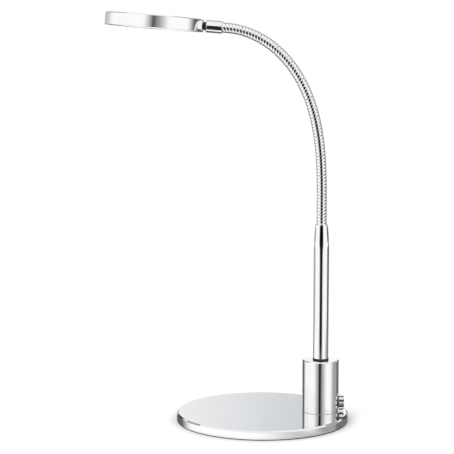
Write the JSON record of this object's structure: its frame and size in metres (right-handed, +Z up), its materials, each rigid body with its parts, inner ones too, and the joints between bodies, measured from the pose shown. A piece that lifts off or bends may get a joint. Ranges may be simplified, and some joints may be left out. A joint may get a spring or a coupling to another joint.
{
  "type": "table lamp",
  "caption": "Chromed desk lamp with a weighted round base, a column with a rotary dimmer, a stem, a bendable wound gooseneck and a flat round LED head.",
  "frame": {"origin": "middle of the base's underside, on the table", "axes": "+Z up; the head reaches out towards -X; the dimmer knob and the cord inlet face +X"},
  "size_m": [0.2388, 0.17, 0.4034],
  "materials": {
    "chrome": "polished",
    "neck_winding": "polished",
    "head_plating": "polished",
    "ballast": "matte",
    "black_rubber": "matte",
    "zinc_steel": "satin",
    "dark_steel": "satin",
    "cast_alloy": "satin",
    "brass": "satin",
    "black_plastic": "matte",
    "green_board": "satin",
    "white_board": "satin",
    "led_phosphor": "satin",
    "opal": "satin",
    "lead_sheath": "satin"
  },
  "bodies": {
    "base": {"base_cover": "chrome", "column_shell": "chrome", "stem_tube": "chrome", "neck_01": "neck_winding", "base_weight": "ballast", "base_pad": "black_rubber", "cord_bush": "black_rubber", "stem_gasket": "black_rubber", "base_screws": "zinc_steel", "nipple_nut": "zinc_steel", "nipple_washer": "zinc_steel", "pot_nut": "zinc_steel", "column_foot": "cast_alloy", "stem_nipple": "brass", "dimmer_pot": "black_plastic", "board_terminal": "black_plastic", "dimmer_board": "green_board", "supply_lead": "lead_sheath"},
    "neck_link_02": {"neck_02": "neck_winding"},
    "neck_link_03": {"neck_03": "neck_winding"},
    "neck_link_04": {"neck_04": "neck_winding"},
    "neck_link_05": {"neck_05": "neck_winding"},
    "neck_link_06": {"neck_06": "neck_winding"},
    "neck_link_07": {"neck_07": "neck_winding"},
    "neck_link_08": {"neck_08": "neck_winding"},
    "neck_link_09": {"neck_09": "neck_winding"},
    "neck_link_10": {"neck_10": "neck_winding"},
    "neck_link_11": {"neck_11": "neck_winding"},
    "neck_link_12": {"neck_12": "neck_winding"},
    "neck_link_13": {"neck_13": "neck_winding"},
    "neck_link_14": {"neck_14": "neck_winding"},
    "neck_link_15": {"neck_15": "neck_winding"},
    "neck_link_16": {"neck_16": "neck_winding"},
    "neck_link_17": {"neck_17": "neck_winding"},
    "neck_link_18": {"neck_18": "neck_winding"},
    "neck_link_19": {"neck_19": "neck_winding"},
    "neck_link_20": {"neck_20": "neck_winding"},
    "neck_link_21": {"neck_21": "neck_winding"},
    "neck_link_22": {"neck_22": "neck_winding"},
    "neck_link_23": {"neck_23": "neck_winding"},
    "neck_link_24": {"neck_24": "neck_winding"},
    "neck_link_25": {"neck_25": "neck_winding", "neck_ferrule": "chrome", "swivel_spigot": "dark_steel", "wave_washer": "zinc_steel", "retaining_clip": "zinc_steel"},
    "head": {"head_shell": "head_plating", "swivel_block": "cast_alloy", "led_board": "white_board", "led_chips": "led_phosphor", "board_screws": "zinc_steel", "lead_terminal": "black_plastic", "diffuser": "opal", "bezel_ring": "head_plating"},
    "knob": {"dimmer_knob": "chrome", "dimmer_shaft": "brass"}
  },
  "joints": [
    {"name": "neck_bend", "type": "hinge", "parent": "base", "child": "neck_link_02", "pos_m": [0.058, 0, 0.2062], "axis": [0, -1, 0], "range_deg": [-7, 7], "deforming": ["supply_lead"]},
    {"name": "neck_sway", "type": "hinge", "parent": "neck_link_02", "child": "neck_link_03", "pos_m": [0.058, 0, 0.2158], "axis": [1, 0, 0.001], "range_deg": [-6, 6], "deforming": ["supply_lead"]},
    {"name": "neck_bend_03", "type": "hinge", "parent": "neck_link_03", "child": "neck_link_04", "pos_m": [0.05798, 0, 0.2254], "axis": [0, -1, 0], "range_deg": [-7, 7]},
    {"name": "neck_sway_04", "type": "hinge", "parent": "neck_link_04", "child": "neck_link_05", "pos_m": [0.05789, 0, 0.235], "axis": [0.9999, 0, 0.0162], "range_deg": [-6, 6]},
    {"name": "neck_bend_05", "type": "hinge", "parent": "neck_link_05", "child": "neck_link_06", "pos_m": [0.05767, 0, 0.2446], "axis": [0, -1, 0], "range_deg": [-7, 7]},
    {"name": "neck_sway_06", "type": "hinge", "parent": "neck_link_06", "child": "neck_link_07", "pos_m": [0.05727, 0, 0.25419], "axis": [0.9985, 0, 0.0543], "range_deg": [-6, 6]},
    {"name": "neck_bend_07", "type": "hinge", "parent": "neck_link_07", "child": "neck_link_08", "pos_m": [0.05663, 0, 0.26377], "axis": [0, -1, 0], "range_deg": [-7, 7]},
    {"name": "neck_sway_08", "type": "hinge", "parent": "neck_link_08", "child": "neck_link_09", "pos_m": [0.0557, 0, 0.27332], "axis": [0.9934, 0, 0.115], "range_deg": [-6, 6]},
    {"name": "neck_bend_09", "type": "hinge", "parent": "neck_link_09", "child": "neck_link_10", "pos_m": [0.05442, 0, 0.28284], "axis": [0, -1, 0], "range_deg": [-7, 7]},
    {"name": "neck_sway_10", "type": "hinge", "parent": "neck_link_10", "child": "neck_link_11", "pos_m": [0.05275, 0, 0.29229], "axis": [0.9803, 0, 0.1977], "range_deg": [-6, 6]},
    {"name": "neck_bend_11", "type": "hinge", "parent": "neck_link_11", "child": "neck_link_12", "pos_m": [0.05063, 0, 0.30165], "axis": [0, -1, 0], "range_deg": [-7, 7]},
    {"name": "neck_sway_12", "type": "hinge", "parent": "neck_link_12", "child": "neck_link_13", "pos_m": [0.04801, 0, 0.31089], "axis": [0.9536, 0, 0.301], "range_deg": [-6, 6]},
    {"name": "neck_bend_13", "type": "hinge", "parent": "neck_link_13", "child": "neck_link_14", "pos_m": [0.04485, 0, 0.31995], "axis": [0, -1, 0], "range_deg": [-7, 7]},
    {"name": "neck_sway_14", "type": "hinge", "parent": "neck_link_14", "child": "neck_link_15", "pos_m": [0.04111, 0, 0.3288], "axis": [0.9068, 0, 0.4216], "range_deg": [-6, 6]},
    {"name": "neck_bend_15", "type": "hinge", "parent": "neck_link_15", "child": "neck_link_16", "pos_m": [0.03676, 0, 0.33735], "axis": [0, -1, 0], "range_deg": [-7, 7]},
    {"name": "neck_sway_16", "type": "hinge", "parent": "neck_link_16", "child": "neck_link_17", "pos_m": [0.03177, 0, 0.34555], "axis": [0.8323, 0, 0.5544], "range_deg": [-6, 6]},
    {"name": "neck_bend_17", "type": "hinge", "parent": "neck_link_17", "child": "neck_link_18", "pos_m": [0.02612, 0, 0.35332], "axis": [0, -1, 0], "range_deg": [-7, 7]},
    {"name": "neck_sway_18", "type": "hinge", "parent": "neck_link_18", "child": "neck_link_19", "pos_m": [0.01982, 0, 0.36056], "axis": [0.7229, 0, 0.691], "range_deg": [-6, 6]},
    {"name": "neck_bend_19", "type": "hinge", "parent": "neck_link_19", "child": "neck_link_20", "pos_m": [0.01287, 0, 0.36718], "axis": [0, -1, 0], "range_deg": [-7, 7]},
    {"name": "neck_sway_20", "type": "hinge", "parent": "neck_link_20", "child": "neck_link_21", "pos_m": [0.0053, 0, 0.37309], "axis": [0.5727, 0, 0.8197], "range_deg": [-6, 6]},
    {"name": "neck_bend_21", "type": "hinge", "parent": "neck_link_21", "child": "neck_link_22", "pos_m": [-0.00285, 0, 0.37816], "axis": [0, -1, 0], "range_deg": [-7, 7]},
    {"name": "neck_sway_22", "type": "hinge", "parent": "neck_link_22", "child": "neck_link_23", "pos_m": [-0.0115, 0, 0.38231], "axis": [0.3792, 0, 0.9253], "range_deg": [-6, 6]},
    {"name": "neck_bend_23", "type": "hinge", "parent": "neck_link_23", "child": "neck_link_24", "pos_m": [-0.02058, 0, 0.38543], "axis": [0, -1, 0], "range_deg": [-7, 7]},
    {"name": "neck_sway_24", "type": "hinge", "parent": "neck_link_24", "child": "neck_link_25", "pos_m": [-0.02997, 0, 0.38742], "axis": [0.1446, 0, 0.9895], "range_deg": [-6, 6]},
    {"name": "head_swivel", "type": "hinge", "parent": "neck_link_25", "child": "head", "pos_m": [-0.05549, 0, 0.3895], "axis": [-0.9967, 0, 0.0812], "range_deg": [-90, 90], "deforming": ["supply_lead"]},
    {"name": "dimmer_turn", "type": "hinge", "parent": "base", "child": "knob", "pos_m": [0.0763, 0, 0.0176], "axis": [1, 0, 0], "range_deg": [-300, 0]}
  ],
  "couplings": [
    {"joint": "neck_bend_03", "follows": "neck_bend", "ratio": 1},
    {"joint": "neck_sway_04", "follows": "neck_sway", "ratio": 1},
    {"joint": "neck_bend_05", "follows": "neck_bend", "ratio": 1},
    {"joint": "neck_sway_06", "follows": "neck_sway", "ratio": 1},
    {"joint": "neck_bend_07", "follows": "neck_bend", "ratio": 1},
    {"joint": "neck_sway_08", "follows": "neck_sway", "ratio": 1},
    {"joint": "neck_bend_09", "follows": "neck_bend", "ratio": 1},
    {"joint": "neck_sway_10", "follows": "neck_sway", "ratio": 1},
    {"joint": "neck_bend_11", "follows": "neck_bend", "ratio": 1},
    {"joint": "neck_sway_12", "follows": "neck_sway", "ratio": 1},
    {"joint": "neck_bend_13", "follows": "neck_bend", "ratio": 1},
    {"joint": "neck_sway_14", "follows": "neck_sway", "ratio": 1},
    {"joint": "neck_bend_15", "follows": "neck_bend", "ratio": 1},
    {"joint": "neck_sway_16", "follows": "neck_sway", "ratio": 1},
    {"joint": "neck_bend_17", "follows": "neck_bend", "ratio": 1},
    {"joint": "neck_sway_18", "follows": "neck_sway", "ratio": 1},
    {"joint": "neck_bend_19", "follows": "neck_bend", "ratio": 1},
    {"joint": "neck_sway_20", "follows": "neck_sway", "ratio": 1},
    {"joint": "neck_bend_21", "follows": "neck_bend", "ratio": 1},
    {"joint": "neck_sway_22", "follows": "neck_sway", "ratio": 1},
    {"joint": "neck_bend_23", "follows": "neck_bend", "ratio": 1},
    {"joint": "neck_sway_24", "follows": "neck_sway", "ratio": 1}
  ]
}
